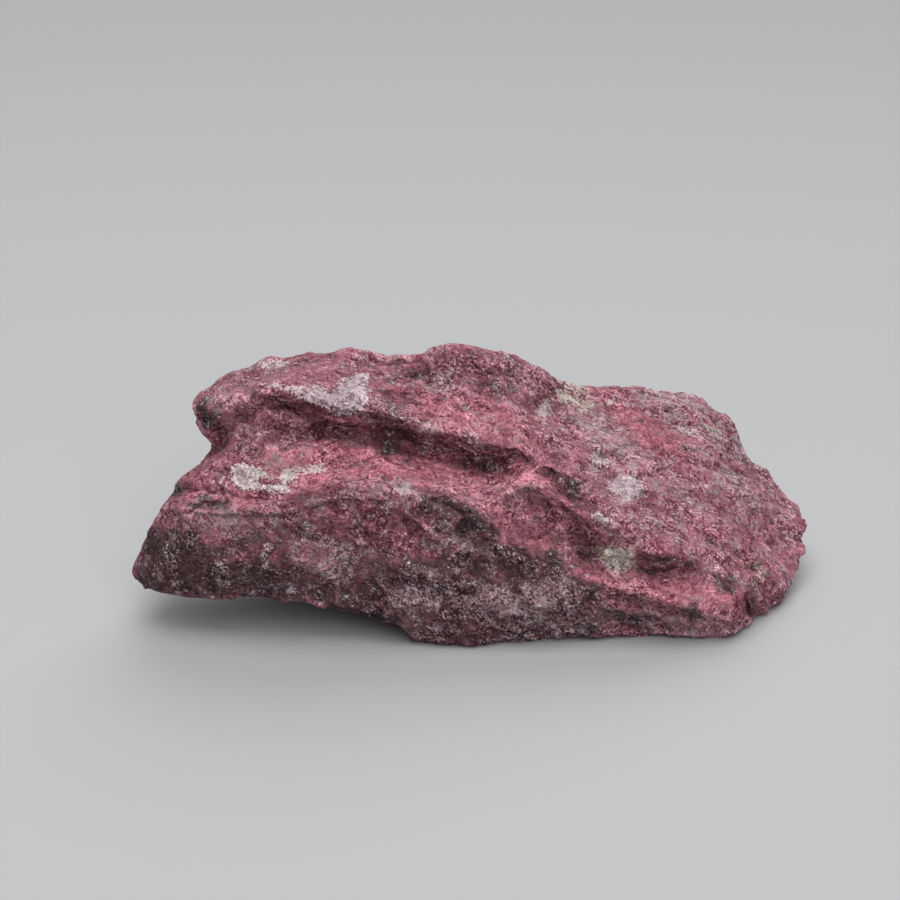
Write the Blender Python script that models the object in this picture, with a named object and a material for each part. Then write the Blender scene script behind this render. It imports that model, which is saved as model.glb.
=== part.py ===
"""A raw piece of thulite, built as one solid stone.

The stone is a skin stretched over long "rails". A rail is one line that runs from the left end
of the stone to its right end along something that shows: the crest, the lip of a ledge, the root
of that ledge, the foot. Rails on the side that is seen are drawn in the picture plane of a viewer
who looks down at the stone, and are then pushed back by their depth. Rails on the hidden sides are
drawn in the stone's own frame. Breaks, pits and small fracture faces are worked into the skin, its
underside is rubbed flat where it stands, and the skin is thinned to a faceted solid.
"""

import math

import bmesh
import bpy
import numpy as np

# Driving dimensions, in millimetres and degrees
MM = 0.001
EYE_TILT = math.radians(24)
EYE_DISTANCE = 420
COLUMNS = 200
ROW_STEP = 0.7
END_RINGS = 12
FIRST_VOXEL = 0.5
LAST_VOXEL = 0.42
TRIANGLES = 9400
SEED = 12

STONE_COLOUR = (0.36, 0.11, 0.15, 1)
STONE_ROUGHNESS = 0.75

# Rails of the visible side: across, up and back from the viewer's picture plane
CREST = [
    (-36.8, 27.4, 0), (-34.0, 29.9, 1), (-27.8, 32.5, 2.5), (-21.4, 33.4, 3.5), (-15.7, 33.8, 4),
    (-11.2, 32.7, 4.5), (-6.5, 33.4, 5), (-2.2, 35.0, 5.5), (2.3, 34.1, 6.5), (7.0, 32.9, 8),
    (11.8, 30.0, 10.5), (15.8, 29.3, 14), (19.9, 28.5, 16), (23.2, 29.2, 18), (26.6, 28.2, 19),
    (31.8, 27.6, 20), (33.6, 26.2, 20), (37.2, 23.0, 19), (39.8, 18.3, 17.5), (42.2, 15.2, 15),
    (45.6, 10.8, 11),
]
UPPER_LIP = [
    (-37.2, 25.9, -3), (-34.5, 26.2, -6), (-30.8, 27.1, -7.5), (-26.1, 28.6, -7.5),
    (-24.1, 28.3, -8), (-21.4, 27.1, -8.5), (-17.3, 25.3, -9), (-12.8, 25.7, -8),
    (-9.9, 24.3, -8), (-5.1, 22.7, -7.5), (0.3, 21.2, -7), (7.7, 19.7, -6.5), (9.7, 18.7, -6),
    (12.4, 17.7, -6), (17.8, 16.4, -5), (26.6, 13.4, -4), (34.7, 9.7, -4), (41.0, 7.2, 2),
    (45.8, 8.9, 8.5),
]
LEDGE_ROOT = [
    (-34.2, 20.2, -3), (-30.8, 21.9, -4.5), (-28.8, 22.1, -4), (-26.8, 21.0, -3),
    (-22.7, 21.8, -3), (-18.6, 22.0, -3), (-14.6, 21.3, -3), (-9.2, 19.5, -3), (-3.8, 18.2, -2.5),
    (1.6, 16.9, -2.5), (4.3, 17.2, -3), (7.0, 17.7, -4.5), (9.7, 18.5, -6), (12.4, 16.4, -8.5),
    (17.8, 14.2, -8.5), (26.6, 10.6, -8.5), (34.7, 6.8, -8.5), (41.0, 4.5, -3), (45.5, 5.8, 6),
]
TREAD_EDGE = [
    (-38.5, 16.2, -7), (-36.0, 15.3, -9.5), (-32.0, 15.0, -11), (-26.0, 14.6, -12),
    (-20.0, 15.2, -13), (-16.6, 15.7, -13), (-13.2, 15.5, -13.5), (-9.9, 15.0, -13.5),
    (-5.8, 13.7, -13), (-3.1, 13.9, -12.5), (-0.4, 12.6, -12.5), (1.6, 12.0, -12.5),
    (3.6, 13.3, -12), (6.4, 15.1, -12), (9.1, 15.1, -12.5), (12.4, 13.4, -12.5),
    (17.8, 11.0, -13), (21.2, 9.4, -13), (24.6, 7.9, -12.6), (26.2, 7.2, -12.3),
    (30.0, 5.9, -11.5), (34.1, 3.9, -11.4), (37.4, 2.0, -11), (40.5, 2.2, -6), (44.5, 3.0, 2),
]
HOLLOW_FLOOR = [
    (-40.3, 14.3, -8.5), (-36.0, 13.0, -11.5), (-30.0, 13.2, -12.5), (-22.0, 13.5, -13.8),
    (-16.6, 14.2, -14), (-10.5, 13.4, -14.5), (-5.1, 10.5, -12.5), (0.3, 8.2, -12),
    (4.3, 7.6, -12.4), (9.7, 6.0, -12.4), (14.5, 5.0, -12), (17.8, 4.3, -11.6), (22.6, 3.4, -11.4),
    (26.6, 3.2, -11.5), (30.6, 2.6, -12.1), (34.7, 1.5, -13.3), (37.4, 0.6, -12.6),
    (39.8, 0.8, -7), (43.5, 1.8, 0),
]
FACE_EDGE = [
    (-41.6, 12.2, -9.5), (-36.2, 11.9, -13), (-28.0, 12.0, -14.5), (-22.7, 13.2, -15),
    (-16.6, 14.0, -15.5), (-10.5, 12.6, -15.3), (-7.8, 11.2, -14.6), (-4.5, 8.6, -13.9),
    (0.3, 6.8, -13.5), (4.3, 6.2, -13.4), (9.7, 4.6, -13.7), (14.5, 3.4, -14.6), (17.8, 2.4, -15.4),
    (23.2, 0.9, -16), (27.3, -0.2, -16.2), (31.4, -1.6, -16.3), (35.9, -3.9, -15.8),
    (38.0, -2.8, -12.5), (39.2, -1.8, -8), (42.3, 0.5, -1.5),
]
FACE_MIDDLE = [
    (-46.3, 3.4, -7), (-42.6, 4.4, -11), (-36.0, 4.5, -14), (-28.0, 4.5, -15.5),
    (-20.0, 4.5, -16), (-10.0, 3.8, -16.3), (0.0, 1.0, -16), (10.0, -0.8, -16),
    (18.0, -1.6, -15.6), (27.0, -2.8, -15.2), (33.0, -4.2, -15), (37.0, -4.9, -13.6),
    (39.0, -2.8, -8.5), (41.8, -0.4, -2.5),
]
FOOT = [
    (-44.8, 1.8, -7), (-42.0, 0.6, -9.5), (-38.0, -0.1, -12), (-33.0, -0.3, -13),
    (-26.0, -0.6, -13.5), (-21.4, -0.4, -13.5), (-16.6, -2.0, -14), (-9.2, -4.6, -14.4),
    (-4.5, -6.5, -15.4), (0.3, -6.6, -15.8), (5.7, -6.2, -15.2), (11.0, -6.0, -14.6),
    (15.8, -5.8, -14.2), (23.0, -5.4, -13.6), (27.0, -5.5, -13.8), (30.0, -6.0, -14.4),
    (33.4, -6.0, -14.4), (36.6, -5.7, -13.6), (38.4, -3.8, -9.6), (39.4, -2.6, -6.6),
    (41.0, -1.0, -2.4),
]

# Rails of the hidden sides: x to the right, y to the back, z up
UNDER_FRONT = [
    (-43.5, -4.5, 6.8), (-38, -8, 5.5), (-28, -9, 5), (-20, -9, 4.5), (-14, -9, 2), (-8, -9, 0),
    (5, -9, 0), (20, -9, 0), (34, -9, 0), (37.5, -5, 0), (40, 0, 0),
]
UNDER_BACK = [
    (-42.5, 0.5, 8.5), (-36, 2.5, 6.2), (-31, 2, 7), (-24, 3.5, 4.4), (-16, 3, 1.5), (-12, 3, 0),
    (5, 5, 0), (20, 7, 0), (34, 6, 0), (42.5, 6, 0),
]
BACK_FOOT = [
    (-40, 4, 10.5), (-34, 7, 9.5), (-29, 10, 7), (-22, 11, 6.4), (-15, 14.5, 2.5), (-7, 14, 1.5),
    (-2, 16.5, 0.5), (8, 16, 0), (14, 18.5, 0), (24, 18, 0), (31, 20, 1), (40, 17, 0.5),
    (44.5, 13, 1),
]
BACK_MIDDLE = [
    (-34, 6, 18), (-31, 10.5, 18.5), (-24, 13, 15), (-17, 17.5, 17.5), (-9, 18, 13.5),
    (-3, 20.5, 14.5), (5, 19.5, 16), (12, 22.5, 11), (20, 23.5, 12.5), (27, 25.5, 8.5),
    (33, 23, 9.5), (39, 20, 6.5), (43, 18, 6), (46, 15, 4),
]
BACK_SHOULDER = [
    (-35.5, 4.5, 25.5), (-30, 8.5, 28.5), (-20, 11, 29.5), (-8, 14, 28), (0, 16, 27),
    (8, 17.5, 23.5), (16, 21, 20), (25, 24.5, 17.5), (33, 24.5, 14.5), (39.4, 21.5, 10.5),
    (43.2, 18.5, 8), (46.3, 14, 6.5),
]
VISIBLE_RAILS = [
    CREST, UPPER_LIP, LEDGE_ROOT, TREAD_EDGE, HOLLOW_FLOOR, FACE_EDGE, FACE_MIDDLE, FOOT,
]
HIDDEN_RAILS = [UNDER_FRONT, UNDER_BACK, BACK_FOOT, BACK_MIDDLE, BACK_SHOULDER]

# The broken ends: (y, z) of the middle, and how far out in x the face lies at each height z
LEFT_MIDDLE = (0, 14)
LEFT_PROFILE = [
    (4, -40), (8, -42), (12, -39.5), (16, -37.2), (19, -35), (21.5, -33.4), (24, -34.4),
    (28, -35.5), (32, -34),
]
RIGHT_MIDDLE = (7, 2.2)
RIGHT_PROFILE = [(0, 43), (3, 44.4), (6, 45.2), (9, 44.8)]


# Breaks in the visible side. Each line is drawn in the picture plane, and on the right-hand side
# of someone who walks along it the skin sinks away from the viewer over "near" and comes back
# over "far". A sink below zero is a ridge. Name: (line, sink, near, far)
# A break fades out over BREAK_ENDS, a share of its length, at either end.
BREAK_ENDS = 0.16
BREAKS = {
    "upper lip undercut": (
        [(-35, 23.5), (-27.8, 27.6), (-24, 27.2), (-17.3, 24), (-9, 22.5), (0, 19.5), (8, 18)],
        1.2, 1.2, 2.0),
    "left end nub": ([(-37, 28), (-35.5, 26), (-34.6, 23.5)], 1.2, 1.0, 1.2),
    "crack above the left tread": (
        [(-40.5, 15.2), (-36, 14.9), (-31, 14.3), (-25.4, 13.9), (-20, 14.6)], 1.1, 0.6, 1.8),
    "lens under the crack": ([(-38, 12.7), (-35.4, 13.2), (-32, 12.8)], 1.3, 0.6, 0.9),
    "first hollow": ([(-8, 13.6), (-5, 13.7), (-1.5, 13.2), (0.8, 12.1), (3, 10.1)], 0.4, 1.2, 4),
    "black pocket": ([(-2.2, 10.2), (0, 10.0), (1.5, 8.6)], 0.7, 0.9, 1.2),
    "left facet of the riser": ([(-27.6, 28), (-29.6, 25), (-31.4, 22.4), (-33, 20)], 1.3, 1, 7),
    "pink rib": (
        [(-3.2, 16), (0, 13.6), (2.4, 11.4), (4.8, 8.8), (7, 6.6), (9.7, 5.6), (13, 4.6)],
        -1.3, 1.1, 1.8),
    "second hollow": (
        [(3.8, 12.6), (6.2, 15.2), (9.1, 15.2), (11.4, 13.5), (14.5, 11.8), (18, 10.4),
         (21.5, 9.6), (25, 8.2)], 1.4, 1.4, 5),
    "third hollow": ([(22.7, 6.9), (25.3, 6.6), (28.2, 6.0), (30.6, 5.2)], 1.6, 1.0, 1.8),
    "groove": ([(9.5, 18.4), (12.4, 16.8), (15.4, 14.6), (18.4, 12.4)], 2.2, 1.2, 1.0),
    "corner crevice": ([(39.6, 2.2), (39.2, 0.2), (38.6, -2.4)], 1.3, 0.5, 1.1),
    "corner notch": ([(37, 5.2), (38.6, 4.8), (40, 4.9)], 1.2, 0.5, 0.9),
    "crest break": ([(-1, 33.4), (2.5, 31.6), (6, 31.2), (8.2, 28.6), (5, 26.8)], 1.1, 1.4, 2.2),
    "ridge beside the crest": (
        [(9.0, 30), (13.4, 27), (17.4, 23), (20.5, 20.4), (24, 17.4)], 1.4, 2.6, 5),
    "slab step": ([(27.6, 24.6), (32, 23.4), (36, 21.2), (40, 18.2)], 0.9, 0.7, 3),
    "slab step lower": ([(14, 19.5), (18.5, 17.6), (23, 14.8), (28, 12.6)], 0.8, 0.6, 3),
    "flank edge": ([(36, 4.2), (38.5, 6.4), (41.5, 9), (44, 11)], 1.0, 2.6, 4),
    "lower tread step": (
        [(18.5, 2.6), (23.2, 0.9), (28.6, -0.8), (33, -2.4), (36, -4)], 1.1, 1.8, 3),
    "face ledge": ([(-9, 13.2), (-6.5, 10.5), (-4.5, 8.2), (0, 6.6), (4.5, 5.4)], 1.0, 1.2, 4),
    "beak shelf": ([(-42.8, 10.6), (-36, 11.4), (-28, 10.6), (-20, 10.8)], 0.9, 1.2, 4),
    "belly dent": ([(-20, 5.8), (-14, 5), (-8, 3.4), (-2, 2.4), (4, 2.2)], 0.9, 1.4, 3),
    "dark pocket under the belly": ([(-20, 0.4), (-16, -0.6), (-10, -2.6), (-7, -3.8)], 1.2, 1, 2),
    "foot chip": ([(20, -3.2), (23, -2.4), (26, -3), (28.6, -4.2)], 1.0, 1.0, 1.6),
}

# Fracture faces all over: (size of a face, how far it stands out or in). They are drawn out along
# the grain of the stone. A face's own offset and its scatter are shares of its size, and so is the
# slope between two faces.
FRACTURES = [(12, 0.8), (5.5, 0.42), (2.6, 0.22)]
HIDDEN_FRACTURES = (15, 1.5)
GRAIN_DIRECTION = (0.86, 0.22, -0.46)
GRAIN_STRETCH = 1.7
FACE_OFFSET = 0.6
FACE_SCATTER = 0.45
FACE_SLOPE = 0.22

# A skin's turn is -1 where it faces the viewer and 1 where it faces away. Breaks come in over the
# first share of a turn towards the viewer, the large hidden faces over a turn away, and near the
# outline the fracture faces are calmer.
BREAK_TURN = 0.35
HIDDEN_TURN = 0.6
OUTLINE_TURN = 0.4
OUTLINE_CALM = 0.4

# Scattered numbers: how many there are, and the factors that pick one for a cell
SCATTERED = 4096
PICKS = (73856093, 19349663, 83492791)


def from_view(across, up, back):
    """The point of the stone's frame that the viewer sees at (across, up), at the depth y = back.

    The viewer looks along (0, cos t, -sin t) from EYE_DISTANCE away, so that a point lies
    d = y cos t - z sin t past the picture plane and shows at (x, y sin t + z cos t) / (1 + d / D).
    """
    sine, cosine = math.sin(EYE_TILT), math.cos(EYE_TILT)
    z = up * (1 + back * cosine / EYE_DISTANCE) - back * sine
    z = z / (cosine + up * sine / EYE_DISTANCE)
    shrink = 1 + (back * cosine - z * sine) / EYE_DISTANCE
    return np.stack([across * shrink, back, z], axis=-1)


def to_view(points):
    """Where the viewer sees each point: across and up in the picture plane."""
    sine, cosine = math.sin(EYE_TILT), math.cos(EYE_TILT)
    x, y, z = points[..., 0], points[..., 1], points[..., 2]
    shrink = 1 + (y * cosine - z * sine) / EYE_DISTANCE
    return x / shrink, (y * sine + z * cosine) / shrink


def along(rail, columns):
    """The rail's places at that many even steps from its left end to its right end."""
    rail = np.array(rail, float)
    first = np.linspace(rail[0, 0], rail[-1, 0], columns)
    return [first] + [np.interp(first, rail[:, 0], rail[:, i]) for i in (1, 2)]


def skin_rings():
    """Rings of points round the stone, one for each column, with straight runs between the rails."""
    rails = [from_view(*along(rail, COLUMNS)) for rail in VISIBLE_RAILS]
    rails += [np.stack(along(rail, COLUMNS), axis=-1) for rail in HIDDEN_RAILS]
    rows = []
    for here, there in zip(rails, rails[1:] + rails[:1]):
        width = np.linalg.norm(there - here, axis=-1).mean()
        steps = max(2, round(width / ROW_STEP))
        rows += [here + (there - here) * step / steps for step in range(steps)]
    return np.array(rows)


def drawn_in(ring, middle, profile, share):
    """A ring drawn in towards the middle of the end by that share, onto the end's profile."""
    y, z = (ring[:, i + 1] + (middle[i] - ring[:, i + 1]) * share for i in (0, 1))
    heights, reaches = zip(*profile)
    settled = 1 - (1 - share) ** 2
    x = ring[:, 0] + (np.interp(z, heights, reaches) - ring[:, 0]) * settled
    return np.stack([x, y, z], axis=1)


def closed_skin(rings):
    """The rings with both ends closed by rings drawn in to a point, and the faces between them."""
    count = rings.shape[0]
    shares = np.linspace(0, 1, END_RINGS + 1)[1:]
    left = [drawn_in(rings[:, 0], LEFT_MIDDLE, LEFT_PROFILE, share) for share in shares]
    right = [drawn_in(rings[:, -1], RIGHT_MIDDLE, RIGHT_PROFILE, share) for share in shares]
    tips = [left.pop()[0], right.pop()[0]]
    loops = left[::-1] + list(rings.transpose(1, 0, 2)) + right
    points = np.concatenate(loops + [tips])
    around = np.arange(count)
    following = np.roll(around, -1)
    faces = []
    for start in range(0, (len(loops) - 1) * count, count):
        here, there = start + around, start + following
        faces += np.stack([here, there, there + count, here + count], axis=1).tolist()
    left_tip, right_tip = len(points) - 2, len(points) - 1
    last = left_tip - count
    faces += np.stack([following, around, np.full(count, left_tip)], axis=1).tolist()
    faces += np.stack([last + around, last + following, np.full(count, right_tip)], axis=1).tolist()
    return points, faces


def beside(across, up, line):
    """How far each point lies to the right of the walked line, and its share of the way along.

    The nearest point of the nearest segment counts, and a point on the left has a negative
    distance.
    """
    line = np.array(line, float)
    runs = np.linalg.norm(np.diff(line, axis=0), axis=1)
    starts = np.concatenate([[0], np.cumsum(runs)])
    nearest = np.full(across.shape, np.inf)
    side, share = np.zeros(across.shape), np.zeros(across.shape)
    for i, run in enumerate(runs):
        way = (line[i + 1] - line[i]) / run
        da, du = across - line[i, 0], up - line[i, 1]
        forward = np.clip(da * way[0] + du * way[1], 0, run)
        distance = np.hypot(da - forward * way[0], du - forward * way[1])
        right = np.sign(da * way[1] - du * way[0])
        closer = distance < nearest
        nearest = np.where(closer, distance, nearest)
        side = np.where(closer, distance * right, side)
        share = np.where(closer, (starts[i] + forward) / starts[-1], share)
    return side, share


def eased(value):
    """Zero below 0, one above 1, and a smooth climb between."""
    value = np.clip(value, 0, 1)
    return value * value * (3 - 2 * value)


def sink_of_breaks(points):
    """How far each point moves away from the viewer for all the breaks together."""
    across, up = to_view(points)
    total = np.zeros(len(points))
    for line, sink, near, far in BREAKS.values():
        side, share = beside(across, up, line)
        fall = eased(side / near) * eased((near + far - side) / far)
        fade = eased(share / BREAK_ENDS) * eased((1 - share) / BREAK_ENDS)
        total += sink * fall * fade
    return total


def fracture_faces(points, size, seed):
    """Height of small flat faces, each tilted its own way, from -1 to 1 or so.

    Space is split into cells round scattered seeds. A point takes the tilted plane of its nearest
    seed, and close to a border the planes of its two nearest seeds are mixed into a short slope.
    """
    rng = np.random.default_rng(seed)
    table = rng.uniform(-1, 1, (SCATTERED, 7))
    home = np.floor(points / size).astype(np.int64)
    distances, heights = [], []
    for shift in np.ndindex(3, 3, 3):
        cell = home + np.array(shift) - 1
        x, y, z = (cell * PICKS).T
        values = table[(x ^ y ^ z) % SCATTERED]
        offset = points / size - cell - 0.5 - FACE_SCATTER * values[:, :3]
        distances.append(np.linalg.norm(offset, axis=1))
        heights.append(FACE_OFFSET * values[:, 3] + (offset * values[:, 4:]).sum(axis=1))
    order = np.argsort(distances, axis=0)[:2]
    distances = np.take_along_axis(np.array(distances), order, axis=0)
    heights = np.take_along_axis(np.array(heights), order, axis=0)
    mix = 0.5 + 0.5 * eased((distances[1] - distances[0]) / FACE_SLOPE)
    return heights[0] * mix + heights[1] * (1 - mix)


def roughened(points, normals, turn):
    """The points moved along their normals by the fracture faces.

    The sides that the viewer can't see get larger faces as well, and the outline that the viewer
    sees is kept calmer.
    """
    grain = np.array(GRAIN_DIRECTION) / np.linalg.norm(GRAIN_DIRECTION)
    squeezed = points - np.outer(points @ grain, grain) * (1 - 1 / GRAIN_STRETCH)
    height = np.zeros(len(points))
    for i, (size, rise) in enumerate(FRACTURES):
        height += rise * fracture_faces(squeezed, size, SEED + i)
    height *= OUTLINE_CALM + (1 - OUTLINE_CALM) * eased(np.abs(turn) / OUTLINE_TURN)
    size, rise = HIDDEN_FRACTURES
    hidden = eased(turn / HIDDEN_TURN)
    height += rise * hidden * fracture_faces(squeezed, size, SEED + len(FRACTURES))
    return points + normals * height[:, None]


def new_object(name, points, faces):
    mesh = bpy.data.meshes.new(name)
    mesh.from_pydata(points.tolist(), [], faces)
    stone = bpy.data.objects.new(name, mesh)
    bpy.context.scene.collection.objects.link(stone)
    return stone


def applied(stone):
    """The object's mesh with its modifiers applied, in the object's place."""
    depsgraph = bpy.context.evaluated_depsgraph_get()
    mesh = bpy.data.meshes.new_from_object(stone.evaluated_get(depsgraph))
    stone.modifiers.clear()
    stone.data = mesh
    return mesh


def add_voxels(stone, size):
    voxels = stone.modifiers.new("Even skin", "REMESH")
    voxels.mode = "VOXEL"
    voxels.voxel_size = size * MM


def vectors(items, name):
    """That vector of every item, one row each."""
    rows = np.empty(len(items) * 3, np.float32)
    items.foreach_get(name, rows)
    return rows.reshape(-1, 3).astype(float)


def drop_crumbs(shape):
    """Delete what isn't joined to the top of the stone."""
    reached = {max(shape.verts, key=lambda vert: vert.co.z)}
    newest = reached
    while newest:
        neighbours = {edge.other_vert(vert) for vert in newest for edge in vert.link_edges}
        newest = neighbours - reached
        reached = reached | newest
    crumbs = [vert for vert in shape.verts if vert not in reached]
    bmesh.ops.delete(shape, geom=crumbs, context="VERTS")


def rub_flat(mesh):
    """Cut the mesh off at z = 0 and close the cut, which is the face that it stands on."""
    shape = bmesh.new()
    shape.from_mesh(mesh)
    everything = shape.verts[:] + shape.edges[:] + shape.faces[:]
    bmesh.ops.bisect_plane(
        shape, geom=everything, plane_co=(0, 0, 0), plane_no=(0, 0, -1), clear_outer=True)
    drop_crumbs(shape)
    rim = [edge for edge in shape.edges if edge.is_boundary]
    bmesh.ops.holes_fill(shape, edges=rim, sides=0)
    bmesh.ops.triangulate(shape, faces=shape.faces[:])
    bmesh.ops.recalc_face_normals(shape, faces=shape.faces[:])
    shape.to_mesh(mesh)
    shape.free()


def make_material():
    material = bpy.data.materials.new("pink thulite")
    material.use_nodes = True
    shader = material.node_tree.nodes["Principled BSDF"]
    shader.inputs["Base Color"].default_value = STONE_COLOUR
    shader.inputs["Roughness"].default_value = STONE_ROUGHNESS
    shader.inputs["Metallic"].default_value = 0
    return material


def make_stone():
    points, faces = closed_skin(skin_rings())
    stone = new_object("thulite_stone", points * MM, faces)
    add_voxels(stone, FIRST_VOXEL)
    mesh = applied(stone)
    points = vectors(mesh.vertices, "co") / MM
    normals = vectors(mesh.vertex_normals, "vector")
    away = np.array([0, math.cos(EYE_TILT), -math.sin(EYE_TILT)])
    turn = normals @ away
    points = points + np.outer(sink_of_breaks(points) * eased(-turn / BREAK_TURN), away)
    points = roughened(points, normals, turn)
    mesh.vertices.foreach_set("co", (points * MM).astype(np.float32).ravel())
    mesh.update()
    add_voxels(stone, LAST_VOXEL)
    applied(stone)
    thinned = stone.modifiers.new("Fewer faces", "DECIMATE")
    thinned.ratio = TRIANGLES / sum(len(face.vertices) - 2 for face in stone.data.polygons)
    mesh = applied(stone)
    rub_flat(mesh)
    points = vectors(mesh.vertices, "co")
    middle = (points.min(axis=0) + points.max(axis=0)) / 2
    stone.location = (-middle[0], -middle[1], 0)
    mesh.materials.append(make_material())
    return stone


def main():
    for obj in list(bpy.data.objects):
        bpy.data.objects.remove(obj)
    make_stone()


main()
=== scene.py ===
import math

import bmesh
import bpy
import numpy as np
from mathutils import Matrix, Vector


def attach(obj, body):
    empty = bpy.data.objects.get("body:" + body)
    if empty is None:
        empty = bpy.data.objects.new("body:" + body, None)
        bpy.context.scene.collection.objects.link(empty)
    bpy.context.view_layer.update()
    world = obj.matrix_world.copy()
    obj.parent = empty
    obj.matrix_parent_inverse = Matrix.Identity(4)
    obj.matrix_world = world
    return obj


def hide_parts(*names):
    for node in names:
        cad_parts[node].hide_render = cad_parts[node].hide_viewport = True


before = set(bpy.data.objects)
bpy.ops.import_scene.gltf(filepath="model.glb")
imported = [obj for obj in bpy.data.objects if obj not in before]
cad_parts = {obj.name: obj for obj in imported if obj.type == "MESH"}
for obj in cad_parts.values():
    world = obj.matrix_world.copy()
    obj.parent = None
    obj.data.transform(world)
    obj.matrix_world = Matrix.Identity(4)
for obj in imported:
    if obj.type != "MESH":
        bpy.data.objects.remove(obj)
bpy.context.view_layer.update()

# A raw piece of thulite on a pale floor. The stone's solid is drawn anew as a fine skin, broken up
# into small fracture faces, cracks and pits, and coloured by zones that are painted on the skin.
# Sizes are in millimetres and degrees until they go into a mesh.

MM = 0.001
NODE = "thulite_stone"

# The eye looks down at the floor point EYE_FOOT. Places on the stone are given as the eye sees
# them: across and up in the picture plane through that point. AWAY is the way the eye looks.
EYE_FOOT = np.array([-1.13, -4.49, 0.0])
EYE_TILT = math.radians(24)
EYE_DISTANCE = 420
AWAY = np.array([0, math.cos(EYE_TILT), -math.sin(EYE_TILT)])
PICTURE_MIDDLE = (-2.4, 20.0)
PICTURE_WIDTH = 121.6
SENSOR_WIDTH = 36
NEAREST_SHOWN = 10

# The fine skin: how near corners have to be to be joined, the size of its net, and the triangles
# that are left of it. Over what height the breaks grow from the flat foot up, and how far the
# lowest edge is drawn in, and below what height
MERGE_REACH = 0.002
SKIN_VOXEL = 0.22
SKIN_TRIANGLES = 190000
FLAT_REACH = 0.35
DRAWN_IN = 1.1
DRAWN_IN_BELOW = 0.7

# Small fracture faces: (size of a face, how far it stands out or in)
FRACTURES = [(6.5, 0.65), (3.1, 0.4), (1.5, 0.18), (0.75, 0.08)]
# The way the grain runs, and how many times longer the breaks are along it
GRAIN = np.array([0.8, 0.1, -0.6])
GRAIN_STRETCH = 1.4
# In shares of a face's size: its offset, the scatter of its middle, the slope down to the next face
FACE_OFFSET = 0.6
FACE_SCATTER = 0.45
FACE_SLOPE = 0.08
# Creases, pits, and the calm places where the breaks are lower
CREASE_SIZE = 2.3
CREASE_DEPTH = 0.16
CREASE_SHARPNESS = 3
PIT_SIZE = 1.7
PIT_RADIUS = 0.32
PIT_SHARE = 0.22
PIT_DEPTH = 0.24
CALM_SIZE = 11
CALM_CONTRAST = 1.2
CALM_SHARE = 0.6
# Lots are drawn from tables of this length, and a cell's place times these picks its row
SCATTERED = 4096
PICKS = (73856093, 19349663, 83492791)
# The first lot of each pattern
FRACTURE_SEED = 31
CREASE_SEED = 41
PIT_SEED = 51
CALM_SEED = 56
SPOT_SEEDS = (61, 66)
CUT_SEED = 71
ZONE_SEED = 81
ZONE_SEED_STEP = 5

# Fine cuts that show, drawn as the eye sees them. To the right of the way a line runs, the skin
# sinks away from the eye over "near" and comes back over "far". Name: (line, sink, near, far)
CUTS = {
    "lip over the wall": (
        [(-29, 27), (-27.4, 27.8), (-23, 26.9), (-18.6, 25.4), (-13.2, 25.1), (-10.5, 23.7),
         (-6.5, 22.7), (0.3, 20.7), (4.3, 19.7), (9.4, 19.8)], 0.6, 0.2, 2),
    "foot of the wall": (
        [(-28.8, 21.7), (-24.7, 20.3), (-18, 21.4), (-11.9, 20), (-6.5, 18.3), (-1.1, 17),
         (3, 16.5), (7, 18), (9, 19.3)], 0.35, 0.25, 0.7),
    "crack over the left tread": (
        [(-40.5, 15), (-36.2, 14.7), (-30.8, 14.1), (-25.1, 13.4)], 0.35, 0.25, 0.6),
    "short crack under it": ([(-31.1, 11.9), (-27.8, 11.5), (-24.9, 11.6)], 0.3, 0.25, 0.6),
    "lens": ([(-37.8, 12.6), (-35.5, 13.2), (-32.2, 12.4)], 0.4, 0.3, 0.7),
    "crack in the crest": ([(-9.2, 29.9), (-6.5, 30.4), (-3.5, 30.3)], 0.25, 0.25, 0.7),
    "corner crevice": ([(38.2, 1.2), (38.5, -0.5), (38.9, -2.6)], 1.8, 0.35, 0.7),
    "notch in the flank": ([(37.3, 4.5), (38.5, 4.7), (39.7, 4.9)], 0.4, 0.25, 0.6),
    "foot of the third hollow": ([(31.1, 4.9), (26.6, 3.4), (22.6, 3.4)], 0.7, 0.2, 1.3),
    "edge of the lower ledge": (
        [(16.2, 2.7), (20.3, 1.4), (23.9, -0.1), (30, -1.1), (36.5, -4.3)], 0.35, 0.3, 1.6),
    "edge of the front face": (
        [(-41.9, 11.6), (-36.8, 11.8), (-30.8, 11.1), (-25.4, 11.5), (-18.6, 13.2),
         (-13, 13.8), (-8.9, 12.6)], 0.5, 0.4, 1.6),
}
# The share of its line over which a cut fades at each end, how far the skin has to face the eye for
# a cut to be at its full depth, and the size and reach of the wander in its line
CUT_ENDS = 0.12
CUT_TURN = 0.3
CUT_WANDER = (1.6, 0.45)

# Hollows of the solid that are filled up, as the eye sees them: (outline, how far the skin comes
# towards the eye, how far in from the outline it has come all the way)
FILLED = {
    "wall and back of the tread": (
        [(-30.5, 26), (-27.4, 28), (-18.6, 25.6), (-13.2, 25.2), (-10.5, 24), (-6.5, 22.9),
         (0.3, 20.9), (4.3, 19.9), (9, 19.8), (8, 16.5), (4, 14.3), (-3, 14.8), (-8, 16),
         (-16, 18), (-25, 17), (-31, 19.5)], 2.6, 3.2),
    "second hollow": ([(5, 14.5), (8, 16), (12, 14), (16, 10), (14, 7.5), (8, 8), (5, 11)], 0.8, 2),
    "cleft beside the rib": (
        [(10, 19), (14, 18), (17.5, 14), (17, 12), (14, 13), (10.5, 16)], 0.8, 1.5),
    "first hollow": (
        [(-6.5, 13.5), (-4, 14), (0.5, 12.5), (4, 10.5), (4.5, 7.5), (0.5, 6), (-3, 8),
         (-6, 11)], 1.6, 2.6),
    "third hollow": ([(22.5, 7), (25, 8), (31.5, 6), (32, 4), (27, 2.8), (23, 3.2)], 1.8, 1.8),
}

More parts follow.
